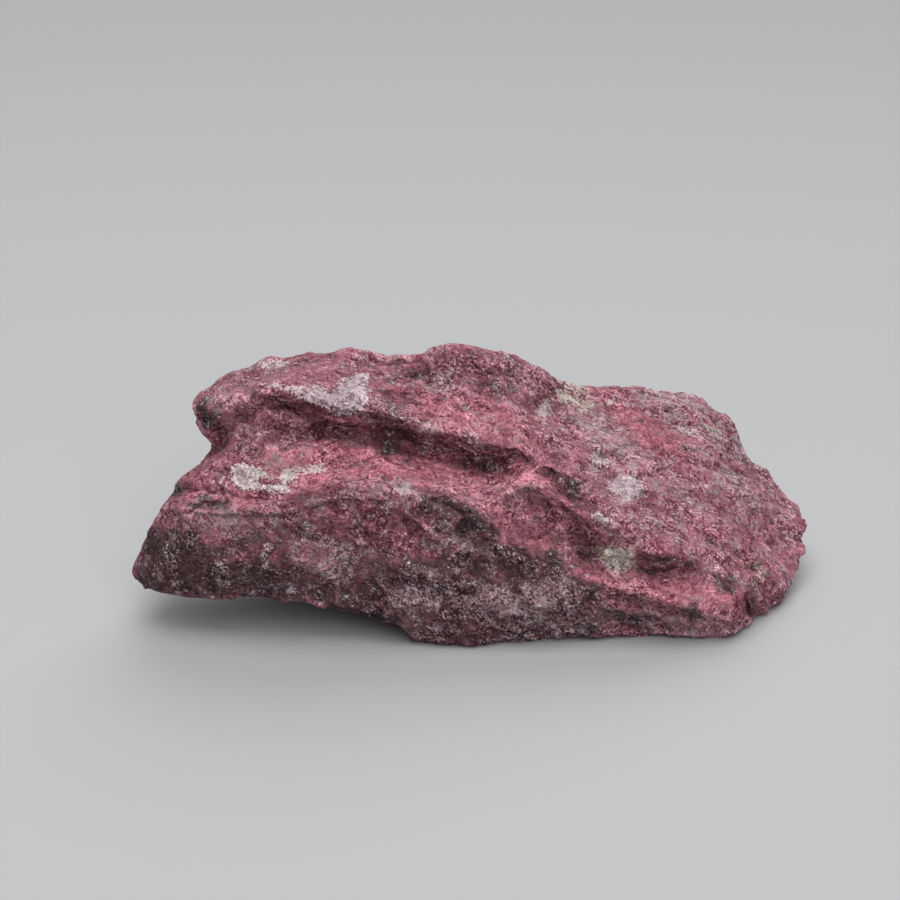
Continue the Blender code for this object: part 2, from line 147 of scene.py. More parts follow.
# Where the outline of the solid is moved a little, as the eye sees it: the middle of the place, how
# far round it the move reaches, and how far to the right and up the skin moves there
MOVED = [
    (-37.2, 25.4, 4.5, -0.8, 0), (-34.7, 20, 2.6, 0.8, 0), (-43.4, 6, 3, 0.4, 0),
    (-42.6, 1.6, 4.5, -0.9, -0.6), (38, 20.4, 5.2, -1.1, -1), (45, 7, 2, 0.7, 0),
    (41.8, 0.5, 4, 0.5, -0.5), (-29.3, 31.5, 3.2, 0, -0.6), (-19.2, 33.5, 3.2, 0, -0.6),
    (-7.8, 33, 2.2, 0, -0.7), (24.5, 28.5, 4.5, 0, -0.8),
]

# The smoother end of the front, as the eye sees it, how far in from its outline it is at its
# smoothest, and the share of the breaks' height that is left there
SMOOTH_END = [(-47, 12), (-22, 12), (-17, 5), (-20, -4), (-47, -4)]
SMOOTH_EDGE = 3
SMOOTH_SHARE = 0.4

# Zones of another colour on the side that is seen, each with how much of it the grains of that
# colour cover. An area is the outline round it. A spot is an oval: its middle, half its length and
# half its height, and its turn.
AREAS = {
    "wall under the upper lip": ("wine", 1, [
        (-30, 25), (-28, 27.5), (-23.5, 27.5), (-18.5, 26), (-14.5, 25), (-10, 25), (-6, 23),
        (-1, 22), (2.5, 22), (5, 20), (8.5, 19.5), (6.5, 17.5), (1.5, 16.5), (-4, 18), (-10, 19.5),
        (-16.5, 21), (-21.5, 21), (-25, 20), (-30, 22)]),
    "lower left of the front": ("dusk", 1, [
        (-44.5, 5), (-43.5, 9.5), (-38.5, 10), (-36, 9), (-34, 5.5), (-28, 5), (-21.5, 4), (-16, 2),
        (-19.5, -0.5), (-33.5, -1), (-43, 0), (-46, 2.5)]),
    "middle left of the front": ("dusk", 0.55, [
        (-37.5, 9.5), (-29.5, 9), (-18.5, 8), (-9, 5.5), (-4, 5), (-4, 2), (-14.5, 1), (-22.5, 3),
        (-33.5, 4.5)]),
    "red patch over the front": ("wine", 1, [
        (-27, 11.5), (-22.5, 14), (-16.5, 15), (-10, 14.5), (-6, 10.5), (-5, 7), (-12, 5.5),
        (-22.5, 7)]),
    "lower middle of the front": ("dusk", 0.85, [
        (-16.5, 2), (-9, 5), (-4, 6), (0.5, 8), (7, 7), (12.5, 5), (18, 1), (18, -6.5), (-5, -7),
        (-18.5, -1.5)]),
    "lower right of the front": ("wine", 0.02, [
        (17, -0.5), (23, -1), (30, -2), (37.5, -5), (31.5, -6.5), (17, -6)]),
    "first hollow": ("dusk", 0.7, [
        (-6.5, 13.5), (-4, 14), (0.5, 12), (3.5, 10.5), (4.5, 8), (0.5, 7), (-3, 9), (-6, 11)]),
    "second hollow": ("wine", 0.1, [
        (4, 14), (6.5, 15), (10.5, 14.5), (13, 12.5), (17, 10.5), (22.5, 9), (27.5, 7.5), (30.5, 5.5),
        (31.5, 4.5), (27.5, 3.5), (23, 3.5), (24.5, 6), (20.5, 7.5), (18, 7.5), (16.5, 5), (14, 5.5),
        (10.5, 7), (7, 9.5), (4.5, 11.5)]),
    "top of the crest": ("dusk", 0.3, [
        (-2.5, 33.5), (1, 34), (5.5, 32), (6.5, 29), (3.5, 27), (-0.5, 28.5), (-2.5, 30.5)]),
    "right end low": ("dusk", 0.3, [
        (37.5, 2.5), (41.5, 5), (45, 5), (43, 1), (39, -2)]),
    "knob at the left end": ("dusk", 0.45, [
        (-37, 26), (-34.5, 27), (-33, 26.5), (-34, 24.5), (-35.5, 23.5)]),
    "back of the slab": ("dusk", 0.3, [
        (23, 27.5), (28.5, 27.5), (37, 21.5), (37.5, 17.5), (31.5, 20), (24.5, 23.5)]),
    "patch on the upper lip": ("chalk", 0.95, [
        (-26.2, 28.5), (-23.4, 28.6), (-19.7, 28.4), (-18.5, 27.6), (-17.6, 28.6), (-16.8, 29.9),
        (-15.1, 30.3), (-13.4, 30.3), (-13.6, 28.9), (-13.5, 26.2), (-14.6, 25), (-16.2, 24.5),
        (-18.4, 25.5), (-21.1, 26.6), (-24.1, 27.6)]),
    "patch on the left tread": ("milk", 1.1, [
        (-32, 17.4), (-30.5, 18), (-28.4, 17.7), (-27.3, 16.8), (-28.4, 15.8), (-27.8, 15.1),
        (-24.1, 15.3), (-24.1, 14.3), (-27, 14.2), (-30.8, 14.6), (-31.9, 15.7)]),
    "patch on the slab": ("chalk", 1, [
        (18.6, 14.9), (20.1, 16.4), (22.2, 16.8), (23.4, 16.4), (23.6, 14.6), (24.3, 13.6),
        (22.6, 13.8), (21.9, 12.8), (20.5, 13.5)]),
    "streaked shoulder": ("veil", 0.6, [
        (11.5, 29), (13, 28.5), (16.5, 25.5), (21, 21.5), (24, 18.5), (22, 18), (18, 20.5), (14, 24),
        (12, 27)]),
    "streaked crest side": ("veil", 0.1, [
        (7, 32.5), (10.5, 30.5), (13, 28), (15, 22.5), (16.5, 17.5), (12.5, 18.5), (8.5, 22.5),
        (5.5, 27)]),
    "dusty slab": ("veil", 0.3, [
        (16.5, 16), (24.5, 17.5), (34, 19.5), (41, 13), (44, 9), (39.5, 6), (30, 8.5), (23, 10.5)]),
    "grey edge of the slab": ("veil", 0.5, [
        (25.5, 28), (32, 27), (37, 22.5), (40, 18), (39.5, 16), (34, 20), (28.5, 24), (24.5, 26)]),
    "grey upper left": ("veil", 0.3, [
        (-35, 29), (-31.5, 30.5), (-28, 31.5), (-26, 29.5), (-29, 28.5), (-33, 27), (-35, 27)]),
    "lilac edge of the front": ("veil", 0.65, [
        (-37, 11.5), (-33, 12), (-28, 11.5), (-25, 10.5), (-25.5, 9), (-31, 9), (-36, 9.5)]),
    "pale rim of the tread": ("veil", 0.35, [
        (-18.5, 15), (-13, 15.5), (-9, 15.5), (-7.5, 14.5), (-9, 13.5), (-16, 14.5)]),
    "grey band on the front": ("veil", 0.4, [
        (-23.5, 7), (-18.5, 7), (-12.5, 5.5), (-12, 3.5), (-17.5, 3), (-22.5, 4.5)]),
    "flecks on the front": ("veil", 0.28, [
        (-11, 2.5), (-5, 3), (1.5, 1), (12.5, 2), (16.5, -0.5), (16, -4.5), (0.5, -4.5), (-9, -1.5)]),
    "tread": ("blush", 1, [
        (-29, 22), (-24.5, 21.5), (-18, 22.3), (-11.5, 21), (-6, 19.5), (-1, 18), (3, 17.5),
        (7.5, 18.5), (10.5, 18.5), (14.5, 16), (9.5, 15.5), (4.5, 14.5), (1.5, 13), (-4, 14.5),
        (-9, 15.5), (-17.5, 15.5), (-22.5, 14.5), (-28, 18.5)]),
    "edge of the left tread": ("blush", 0.7, [
        (-38.5, 15.5), (-35, 15), (-28, 14), (-20, 15), (-24, 13), (-32, 12), (-40, 12)]),
    "rib between the hollows": ("blush", 1.3, [
        (1.5, 14), (4.5, 13), (7, 11), (11, 8), (11.5, 5.3), (7, 5.5), (3.5, 9)]),
    "lower ledge": ("rose", 0.9, [
        (14, 5), (23, 3.5), (31.5, 2.5), (37.5, 1), (40, -2), (38, -4), (31.5, -1), (23, 1),
        (16.5, 1)]),
    "face of the crest": ("rose", 0.9, [
        (-12, 29.5), (-4, 29), (4, 27), (9, 24), (9, 20.5), (3, 20.5), (-5, 23), (-11, 25)]),
    "top of the left end": ("wine", 0.5, [
        (-27, 31.5), (-18.5, 33), (-13, 33), (-9, 32), (-4, 31.5), (-5, 29), (-12, 29.5), (-20, 29.5)]),
    "crest": ("wine", 0.7, [
        (-5, 33), (1.5, 34), (6.5, 31.5), (10.5, 29), (9.5, 26), (4.5, 26.5), (-2.5, 29)]),
    "notch side of the left end": ("wine", 0.5, [
        (-33, 25), (-30, 26), (-28, 28), (-29.5, 22.5), (-33, 20), (-34.5, 20.5)]),
    "shoulder of the slab": ("rose", 0.85, [
        (18, 28), (23, 27.5), (26, 24), (30, 21.5), (31.5, 17.5), (26, 18.5), (21, 22.5)]),
    "band over the third hollow": ("rose", 0.6, [
        (23, 13), (31.5, 11), (39.5, 9), (44, 7), (42, 3), (37, 5), (30, 8)]),
}
SPOTS = [
    ("milk", -24.3, 16.5, 1.1, 0.8, 0, 1), ("milk", -21.1, 17.4, 1.6, 0.5, 12, 1),
    ("chalk", -25.9, 31.6, 1.5, 0.5, 8, 0.8), ("chalk", -8.8, 14.6, 1.1, 0.7, 0, 0.6),
    ("chalk", 10.3, 25.5, 0.8, 1.1, 0, 0.85), ("chalk", 17.3, 18.8, 0.7, 1.4, -10, 0.7),
    ("chalk", 19.6, 17.6, 1.6, 0.2, -40, 0.9), ("chalk", 18.1, 10.7, 1.2, 0.5, -25, 0.85),
    ("chalk", 29.2, 22.7, 1.4, 0.5, -14, 0.8), ("chalk", 38.1, 18.9, 1.6, 0.3, -38, 0.7),
    ("chalk", -26.8, 6.9, 0.4, 0.4, 0, 1), ("chalk", -33.4, 4.7, 0.4, 0.3, 0, 1),
    ("chalk", -23.8, 1.1, 0.3, 0.5, 0, 1), ("chalk", -7.2, 23.8, 1.9, 0.3, -22, 0.45),
    ("chalk", 1.6, 20.7, 1.6, 0.5, -25, 0.55), ("chalk", 19.2, 26.5, 0.4, 0.4, 0, 0.9),
    ("milk", 20.1, 5.5, 1.8, 1.4, 0, 0.9), ("moss", 20.1, 5.5, 1.9, 1.5, 0, 0.6),
    ("soot", 9.3, 13.6, 1.4, 0.8, 0, 0.45), ("moss", 14.2, 27.6, 2, 1.1, -35, 0.5),
    ("veil", 25.4, 27.1, 2.4, 1, -5, 0.75), ("moss", 33.6, 22.6, 1.2, 1.1, 0, 0.25),
    ("dusk", 4.6, 28.6, 1.5, 1.2, 0, 0.55), ("moss", -24.3, 17.8, 1.6, 0.5, 8, 0.2),
    ("veil", -3.1, 7, 1.4, 0.8, 0, 0.35), ("moss", 38.4, 3.5, 1.1, 0.8, 0, 0.3),
    ("veil", 35.4, 16.5, 1.9, 1.1, -30, 0.75), ("veil", 4.3, -0.3, 3.5, 1.6, -8, 0.55),
    ("veil", -8.1, 0.3, 1.9, 1.2, 10, 0.6), ("veil", -7.6, 23.9, 2.4, 0.7, -25, 0.5),
    ("veil", 10.4, 0.3, 2.4, 1.6, 0, 0.5), ("veil", -18, 13.2, 1.4, 0.5, 0, 0.4),
    ("veil", -3.9, 28.9, 1.2, 0.7, 0, 0.6), ("veil", 0.5, 8.5, 1.4, 1.4, 0, 0.6),
    ("dusk", -9.6, 26.9, 2.4, 1.1, 5, 0.6), ("dusk", -6.8, 30.1, 2.7, 0.4, 8, 0.6),
    ("dusk", 11.8, 16.9, 1.2, 0.8, -35, 0.7), ("dusk", 14.9, 13.8, 2.4, 0.9, -32, 0.45),
    ("dusk", 35, 1.8, 1.2, 0.7, -10, 0.8), ("dusk", 30.3, -2.2, 0.9, 1.4, -10, 0.8),
    ("dusk", 20.3, -2.4, 2.7, 1.2, -8, 0.6), ("dusk", -35.3, 12.8, 2.7, 0.7, 8, 0.5),
    ("dusk", -4.2, 12.6, 2.2, 1.2, -20, 0.9), ("blush", 27, 1.5, 7, 1, -8, 0.4),
    ("dusk", -11.9, 11.6, 1.9, 1.4, 0, 0.6), ("blush", 26, 5.8, 5, 1.6, -14, 0.5),
    ("soot", -35.9, 25.8, 0.7, 0.8, 0, 0.68), ("soot", -35, 24.6, 0.7, 0.7, 0, 0.65),
    ("soot", -39.6, 14.5, 0.9, 0.7, 30, 0.77), ("soot", -35.4, 12.8, 2.2, 0.4, 8, 0.65),
    ("soot", -25.1, 0.9, 2.2, 0.9, -3, 0.8), ("soot", -18.5, -0.3, 1.9, 0.5, -25, 0.77),
    ("soot", -10.8, -2.4, 1.6, 0.8, -25, 0.8), ("soot", 0.4, 9.3, 2.2, 1.9, 0, 0.6),
    ("soot", 11.1, 5, 1.1, 0.9, 0, 0.8), ("soot", 19.7, -2.2, 1.9, 0.8, -10, 0.7),
    ("soot", 22.2, -3.1, 1.4, 0.7, -20, 0.68), ("soot", -10.2, 21.2, 3, 1.7, -15, 0.5),
    ("soot", 1.1, 18.2, 2, 1.2, -10, 0.77), ("soot", 25.5, 4.7, 2.2, 1.2, -12, 0.55),
    ("soot", 29.3, 5.4, 1.6, 0.7, -15, 0.5), ("soot", 16.2, 6.8, 1.6, 1.4, 0, 0.55),
    ("soot", 38.5, -1.1, 0.5, 1.1, 0, 0.74), ("soot", 2.2, 28.8, 0.5, 0.4, 0, 0.74),
    ("soot", 14.9, 13.4, 1.4, 0.35, -32, 0.6), ("veil", 27.5, -3.4, 8, 1, -8, 0.5),
    ("soot", 35, 1.8, 0.9, 0.5, -10, 0.72), ("soot", 30.1, -2.2, 0.7, 1.1, -10, 0.7),
    ("soot", -40.3, 6.8, 2.7, 1.1, -10, 0.45), ("soot", 17.8, 18.9, 0.5, 0.4, 0, 0.7),
]

# Each zone: how far in from its outline it is at its fullest. On the sides that aren't seen, the
# size of its clouds, and the higher the last number, the more of the skin they leave bare
ZONES = {
    "rose": (2.5, 12, 0.1),
    "blush": (1.5, 10, 0.4),
    "wine": (0.9, 10, 0.25),
    "dusk": (1.6, 14, 0.0),
    "veil": (1.8, 9, 0.2),
    "moss": (1.4, 6, 0.75),
    "soot": (1.1, 4, 0.45),
    "chalk": (0.6, 7, 0.4),
    "milk": (0.5, 7, 0.6),
}
# How sharply the clouds end, the size and reach of the wander in the outlines, and how far past the
# turn of the skin from the eye the outlines give way to the clouds
CLOUD_CONTRAST = 3
SPOT_WANDER = (1.5, 0.5)
HIDDEN_TURN = 0.1
# How many rounds of neighbours the fine and the broad hollows are measured over
HOLLOWS = {"fine_hollow": 4, "broad_hollow": 40}


def to_view(points):
    """Where the eye sees each point: across and up in the picture plane."""
    sine, cosine = math.sin(EYE_TILT), math.cos(EYE_TILT)
    x, y, z = (points - EYE_FOOT).T
    shrink = 1 + (y * cosine - z * sine) / EYE_DISTANCE
    return x / shrink, (y * sine + z * cosine) / shrink


def eased(value):
    """Zero below 0, one above 1, and a smooth climb between."""
    value = np.clip(value, 0, 1)
    return value * value * (3 - 2 * value)


def picked(cell, table):
    """The row of the table that belongs to each whole-numbered cell, as if drawn by lot."""
    x, y, z = (cell * PICKS).T
    return table[(x ^ y ^ z) % SCATTERED]


def drift(points, size, seed):
    """Soft noise from -1 to 1: one lot at each corner of a cubic net, eased between the corners."""
    table = np.random.default_rng(seed).uniform(-1, 1, SCATTERED)
    home = np.floor(points / size).astype(np.int64)
    inner = eased(points / size - home)
    total = np.zeros(len(points))
    for corner in np.ndindex(2, 2, 2):
        corner = np.array(corner)
        share = np.where(corner, inner, 1 - inner).prod(axis=1)
        total += share * picked(home + corner, table)
    return total


def clouds(points, size, seed, layers=3):
    """Drift at the given size and at halves of it, each layer half as strong."""
    total = sum(drift(points, size / 2 ** i, seed + i) / 2 ** i for i in range(layers))
    return total / (2 - 2 ** (1 - layers))


def along_grain(points):
    """The points squeezed along the grain, so that what is drawn on them comes out long."""
    way = GRAIN / np.linalg.norm(GRAIN)
    return points - np.outer(points @ way, way) * (1 - 1 / GRAIN_STRETCH)


def beside(across, up, line):
    """How far each point lies to the right of the walked line, and its share of the way along.

    The nearest point of the nearest stretch counts, and on the left the distance is negative.
    """
    line = np.array(line, float)
    runs = np.linalg.norm(np.diff(line, axis=0), axis=1)
    starts = np.concatenate([[0], np.cumsum(runs)])
    nearest = np.full(across.shape, np.inf)
    side, share = np.zeros((2, len(across)))
    for i, run in enumerate(runs):
        way = (line[i + 1] - line[i]) / run
        da, du = across - line[i, 0], up - line[i, 1]
        forward = np.clip(da * way[0] + du * way[1], 0, run)
        distance = np.hypot(da - forward * way[0], du - forward * way[1])
        closer = distance < nearest
        nearest = np.where(closer, distance, nearest)
        side = np.where(closer, distance * np.sign(da * way[1] - du * way[0]), side)
        share = np.where(closer, (starts[i] + forward) / starts[-1], share)
    return side, share


def sink_of_cuts(points):
    """How far each point moves away from the eye for all the cuts and filled hollows together."""
    across, up = to_view(points)
    size, reach = CUT_WANDER
    wander = reach * clouds(points, size, CUT_SEED)
    total = np.zeros(len(points))
    for outline, rise, edge in FILLED.values():
        total -= rise * eased(in_area(across, up, outline) / edge)
    for line, sink, near, far in CUTS.values():
        side, share = beside(across, up, line)
        side = side + wander
        fall = eased(side / near) * eased((near + far - side) / far)
        total += sink * fall * eased(share / CUT_ENDS) * eased((1 - share) / CUT_ENDS)
    return total


def in_spot(across, up, length, height, turn):
    """How far inside the oval about (0, 0) each point lies, in mm; outside it is below zero."""
    turn = math.radians(turn)
    along = (across * math.cos(turn) + up * math.sin(turn)) / length
    upright = (up * math.cos(turn) - across * math.sin(turn)) / height
    return (1 - np.hypot(along, upright)) * min(length, height)


def in_area(across, up, outline):
    """How far inside the closed outline each point lies, in mm; outside it is below zero.

    It is the distance to the nearest side, and the number of sides that a level line from the
    point to the right crosses says whether it is inside: it is if that number is odd.
    """
    outline = np.array(outline, float)
    nearest = np.full(len(across), np.inf)
    inside = np.zeros(len(across), bool)
    for (a0, u0), (a1, u1) in zip(outline, np.roll(outline, -1, axis=0)):
        side_across, side_up = a1 - a0, u1 - u0
        share = ((across - a0) * side_across + (up - u0) * side_up) / (side_across**2 + side_up**2)
        share = np.clip(share, 0, 1)
        distance = np.hypot(across - a0 - share * side_across, up - u0 - share * side_up)
        nearest = np.minimum(nearest, distance)
        if side_up:
            crossing = a0 + (up - u0) / side_up * side_across
            inside ^= ((up >= u0) != (up >= u1)) & (across < crossing)
    return np.where(inside, nearest, -nearest)


def fracture_faces(points, size, seed):
    """Height of small flat faces, each tilted its own way, from -1 to 1 or so.

    Each point takes the tilted plane of its nearest seed, and close to a border the planes of its
    two nearest seeds are mixed into a short slope.
    """
    table = np.random.default_rng(seed).uniform(-1, 1, (SCATTERED, 7))
    home = np.floor(points / size).astype(np.int64)
    first, second = np.full((2, len(points)), np.inf)
    first_height, second_height = np.zeros((2, len(points)))
    for shift in np.ndindex(3, 3, 3):
        cell = home + np.array(shift) - 1
        values = picked(cell, table)
        offset = points / size - cell - 0.5 - FACE_SCATTER * values[:, :3]
        distance = np.linalg.norm(offset, axis=1)
        height = FACE_OFFSET * values[:, 3] + (offset * values[:, 4:]).sum(axis=1)
        nearer = distance < first
        between = ~nearer & (distance < second)
        second = np.where(nearer, first, np.where(between, distance, second))
        second_height = np.where(nearer, first_height, np.where(between, height, second_height))
        first = np.where(nearer, distance, first)
        first_height = np.where(nearer, height, first_height)
    mix = 0.5 + 0.5 * eased((second - first) / FACE_SLOPE)
    return first_height * mix + second_height * (1 - mix)


def vectors(items, name):
    """That vector of every item, one row each."""
    rows = np.empty(len(items) * 3, np.float32)
    items.foreach_get(name, rows)
    return rows.reshape(-1, 3).astype(float)


def applied(piece):
    """The piece's mesh with its modifiers applied, in the piece's place."""
    depsgraph = bpy.context.evaluated_depsgraph_get()
    mesh = bpy.data.meshes.new_from_object(piece.evaluated_get(depsgraph))
    piece.modifiers.clear()
    piece.data = mesh
    return mesh


def merged_copy(node, name):
    """A new piece with the node's triangles, joined where their corners meet."""
    shape = bmesh.new()
    shape.from_mesh(node.data)
    bmesh.ops.remove_doubles(shape, verts=shape.verts[:], dist=MERGE_REACH * MM)
    mesh = bpy.data.meshes.new(name)
    shape.to_mesh(mesh)
    shape.free()
    piece = bpy.data.objects.new(name, mesh)
    bpy.context.scene.collection.objects.link(piece)
    return piece


def pits(points, size, seed):
    """Depth of small round pits, from 0 to 1: one in some of the cells of a cubic net."""
    table = np.random.default_rng(seed).uniform(0, 1, (SCATTERED, 5))
    home = np.floor(points / size).astype(np.int64)
    depth = np.zeros(len(points))
    for shift in np.ndindex(3, 3, 3):
        cell = home + np.array(shift) - 1
        values = picked(cell, table)
        distance = np.linalg.norm(points / size - cell - values[:, :3], axis=1)
        radius = PIT_RADIUS * (0.5 + values[:, 3])
        there = values[:, 4] < PIT_SHARE
        depth = np.maximum(depth, np.where(there, eased(1 - distance / radius), 0))
    return depth


def creases(points, size, seed):
    """Depth of narrow creases, from 0 to 1: noise folded at zero, deepest where it changes sign."""
    return 1 - eased(CREASE_SHARPNESS * np.abs(clouds(points, size, seed)))


def broken_up(points, normals):
    """The skin's points moved in and out, and left alone at the flat foot.

    Fracture faces, creases and pits move along the normals, less so in calm places, where the skin
    faces up, and at the smooth end. Cuts sink away from the eye, and filled hollows come towards it,
    where the skin is turned to it. The lowest edge is drawn in, as it is on a real stone, which
    touches the floor with less than its outline.
    """
    long = along_grain(points)
    height = np.zeros(len(points))
    for i, (size, rise) in enumerate(FRACTURES):
        height += rise * fracture_faces(long, size, FRACTURE_SEED + i)
    height -= CREASE_DEPTH * creases(long, CREASE_SIZE, CREASE_SEED)
    height -= PIT_DEPTH * pits(points, PIT_SIZE, PIT_SEED)
    calm = eased(0.5 + CALM_CONTRAST * clouds(points, CALM_SIZE, CALM_SEED))
    height *= 1 - CALM_SHARE * (calm + eased(normals[:, 2])) / 2
    across, up = to_view(points)
    height *= 1 - (1 - SMOOTH_SHARE) * eased(in_area(across, up, SMOOTH_END) / SMOOTH_EDGE)
    flat = eased(points[:, 2] / FLAT_REACH)
    sink = sink_of_cuts(points) * eased(-(normals @ AWAY) / CUT_TURN)
    moved = points + normals * (height * flat)[:, None] + np.outer(sink * flat, AWAY)
    for middle_across, middle_up, reach, right, rise in MOVED:
        near = 1 - np.hypot(across - middle_across, up - middle_up) / reach
        share = eased(near) * flat
        moved += np.outer(share, [right, -rise * AWAY[2], rise * AWAY[1]])
    drawn = DRAWN_IN * (1 - eased(points[:, 2] / DRAWN_IN_BELOW))
    moved[:, :2] -= normals[:, :2] * drawn[:, None]
    moved[:, 2] = np.maximum(moved[:, 2], 0)
    return moved


def make_skin(node):
    """The stone's fine skin: an even net over the solid, broken up, then thinned where it is plain."""
    stone = merged_copy(node, "thulite_skin")
    net = stone.modifiers.new("Fine net", "REMESH")
    net.mode = "VOXEL"
    net.voxel_size = SKIN_VOXEL * MM
    mesh = applied(stone)
    points = vectors(mesh.vertices, "co") / MM
    normals = vectors(mesh.vertex_normals, "vector")
    points = broken_up(points, normals)
    mesh.vertices.foreach_set("co", (points * MM).astype(np.float32).ravel())
    mesh.update()
    thinned = stone.modifiers.new("Plain places thinned", "DECIMATE")
    thinned.ratio = SKIN_TRIANGLES / sum(len(face.vertices) - 2 for face in mesh.polygons)
    mesh = applied(stone)
    mesh.shade_smooth()
    return stone


def hollowness(mesh, points, normals, rounds):
    """How far each point lies under the mean of the points around it, in mm; a ridge is below zero.

    The mean is taken over neighbours joined by an edge, that many rounds over.
    """
    ends = np.empty(len(mesh.edges) * 2, np.int32)
    mesh.edges.foreach_get("vertices", ends)
    start, end = ends.reshape(-1, 2).T
    count = np.bincount(ends, minlength=len(points))
    mean = points.copy()
    for _ in range(rounds):
        mean = np.stack([
            np.bincount(start, mean[end, i], len(points)) + np.bincount(end, mean[start, i], len(points))
            for i in range(3)], axis=1) / count[:, None]
    return ((mean - points) * normals).sum(axis=1)


def seen_zone(across, up, zone, edge):
    """The zone's value on the side that is seen: -1 well outside, 1 where it covers all."""
    value = np.full(len(across), -1.0)
    for name, cover, outline in AREAS.values():
        if name == zone:
            depth = in_area(across, up, outline) / edge
            value = np.maximum(value, np.minimum(depth, 2 * cover - 1))
    for name, middle_across, middle_up, length, height, turn, cover in SPOTS:
        if name == zone:
            depth = in_spot(across - middle_across, up - middle_up, length, height, turn) / edge
            value = np.maximum(value, np.minimum(depth, 2 * cover - 1))
    return value


def paint_zones(mesh):
    """A value from -1 to 1 for each zone and each point, and how hollow the skin is there."""
    points = vectors(mesh.vertices, "co") / MM
    normals = vectors(mesh.vertex_normals, "vector")
    hidden = eased((normals @ AWAY + HIDDEN_TURN) / (2 * HIDDEN_TURN))
    across, up = to_view(points)
    size, reach = SPOT_WANDER
    across = across + reach * clouds(points, size, SPOT_SEEDS[0])
    up = up + reach * clouds(points, size, SPOT_SEEDS[1])
    long = along_grain(points)
    for i, (zone, (edge, cloud, bare)) in enumerate(ZONES.items()):
        seen = seen_zone(across, up, zone, edge)
        free = clouds(long, cloud, ZONE_SEED + ZONE_SEED_STEP * i) - bare
        free = np.clip(CLOUD_CONTRAST * free, -1, 1)
        layer = mesh.attributes.new(zone, "FLOAT", "POINT")
        layer.data.foreach_set("value", (seen * (1 - hidden) + free * hidden).astype(np.float32))
    for name, rounds in HOLLOWS.items():
        layer = mesh.attributes.new(name, "FLOAT", "POINT")
        hollow = hollowness(mesh, points, normals, rounds)
        layer.data.foreach_set("value", hollow.astype(np.float32))


def add(tree, kind, links=(), **settings):
    """A new node. Each socket in links is joined to an output, or set to a value."""
    made = tree.nodes.new(kind)
    for name, value in settings.items():
        setattr(made, name, value)
    for socket, value in dict(links).items():
        if isinstance(value, bpy.types.NodeSocket):
            tree.links.new(value, made.inputs[socket])
        else:
            made.inputs[socket].default_value = value
    return made


def sum_of(tree, parts, start=0.0):
    """start + value * weight, for each (value, weight)."""
    total = start
    for value, weight in parts:
        total = add(tree, "ShaderNodeMath", {0: value, 1: weight, 2: total},
                    operation="MULTIPLY_ADD").outputs[0]
    return total


def climb(tree, value, low, high, bottom=0.0, top=1.0):
    """Bottom below low, top above high, and a smooth climb between."""
    made = add(tree, "ShaderNodeMapRange", {"Value": value, "From Min": low, "From Max": high,
                                            "To Min": bottom, "To Max": top},
               interpolation_type="SMOOTHSTEP")
    return made.outputs["Result"]


def ramp(tree, value, stops):
    """A colour for the value, from (place, red, green, blue) stops."""
    made = add(tree, "ShaderNodeValToRGB", {"Fac": value})
    elements = made.color_ramp.elements
    while len(elements) < len(stops):
        elements.new(0.5)
    for element, (place, *colour) in zip(elements, sorted(stops)):
        element.position = place
        element.color = (*colour, 1)
    return made.outputs["Color"]


def over(tree, below, above, share):
    """The colour above laid over the colour below, by share."""
    made = add(tree, "ShaderNodeMix", {0: share, 6: below, 7: above}, data_type="RGBA")
    return made.outputs[2]


# Colours of the grains, from the darkest to the palest
PINK = [
    (0, 0.09, 0.021, 0.031), (0.2, 0.205, 0.059, 0.081), (0.45, 0.33, 0.118, 0.154),
    (0.7, 0.435, 0.185, 0.228), (0.9, 0.56, 0.305, 0.35), (1, 0.69, 0.49, 0.525),
]
CRIMSON = [
    (0, 0.105, 0.023, 0.032), (0.25, 0.275, 0.073, 0.1), (0.5, 0.42, 0.136, 0.175),
    (0.75, 0.545, 0.205, 0.254), (1, 0.69, 0.36, 0.41),
]
BLUSH = [
    (0, 0.2, 0.052, 0.071), (0.25, 0.45, 0.136, 0.177), (0.5, 0.625, 0.23, 0.285),
    (0.75, 0.735, 0.33, 0.39), (1, 0.84, 0.52, 0.57),
]
WINE = [
    (0, 0.062, 0.013, 0.019), (0.25, 0.152, 0.041, 0.058), (0.5, 0.25, 0.082, 0.109),
    (0.75, 0.375, 0.152, 0.188), (1, 0.58, 0.38, 0.41),
]
GREY_PURPLE = [
    (0, 0.018, 0.008, 0.009), (0.25, 0.048, 0.023, 0.025), (0.5, 0.095, 0.046, 0.051),
    (0.75, 0.165, 0.092, 0.1), (0.9, 0.29, 0.19, 0.205), (1, 0.48, 0.36, 0.38),
]
PALE_GREY = [
    (0, 0.15, 0.066, 0.081), (0.3, 0.29, 0.158, 0.183), (0.6, 0.41, 0.27, 0.297),
    (1, 0.58, 0.45, 0.478),
]
MOSSY = [
    (0, 0.2, 0.15, 0.125), (0.3, 0.43, 0.38, 0.315), (0.6, 0.58, 0.53, 0.435),
    (1, 0.7, 0.66, 0.56),
]
BLACK = [
    (0, 0.013, 0.007, 0.008), (0.5, 0.05, 0.028, 0.031), (0.75, 0.1, 0.06, 0.065),
    (1, 0.24, 0.17, 0.18),
]
CHALK_WHITE = [
    (0, 0.2, 0.11, 0.13), (0.25, 0.39, 0.275, 0.3), (0.5, 0.5, 0.385, 0.415),
    (1, 0.63, 0.51, 0.54),
]
MILKY = [
    (0, 0.36, 0.25, 0.25), (0.25, 0.57, 0.45, 0.455), (0.5, 0.71, 0.59, 0.6),
    (1, 0.82, 0.72, 0.73),
]

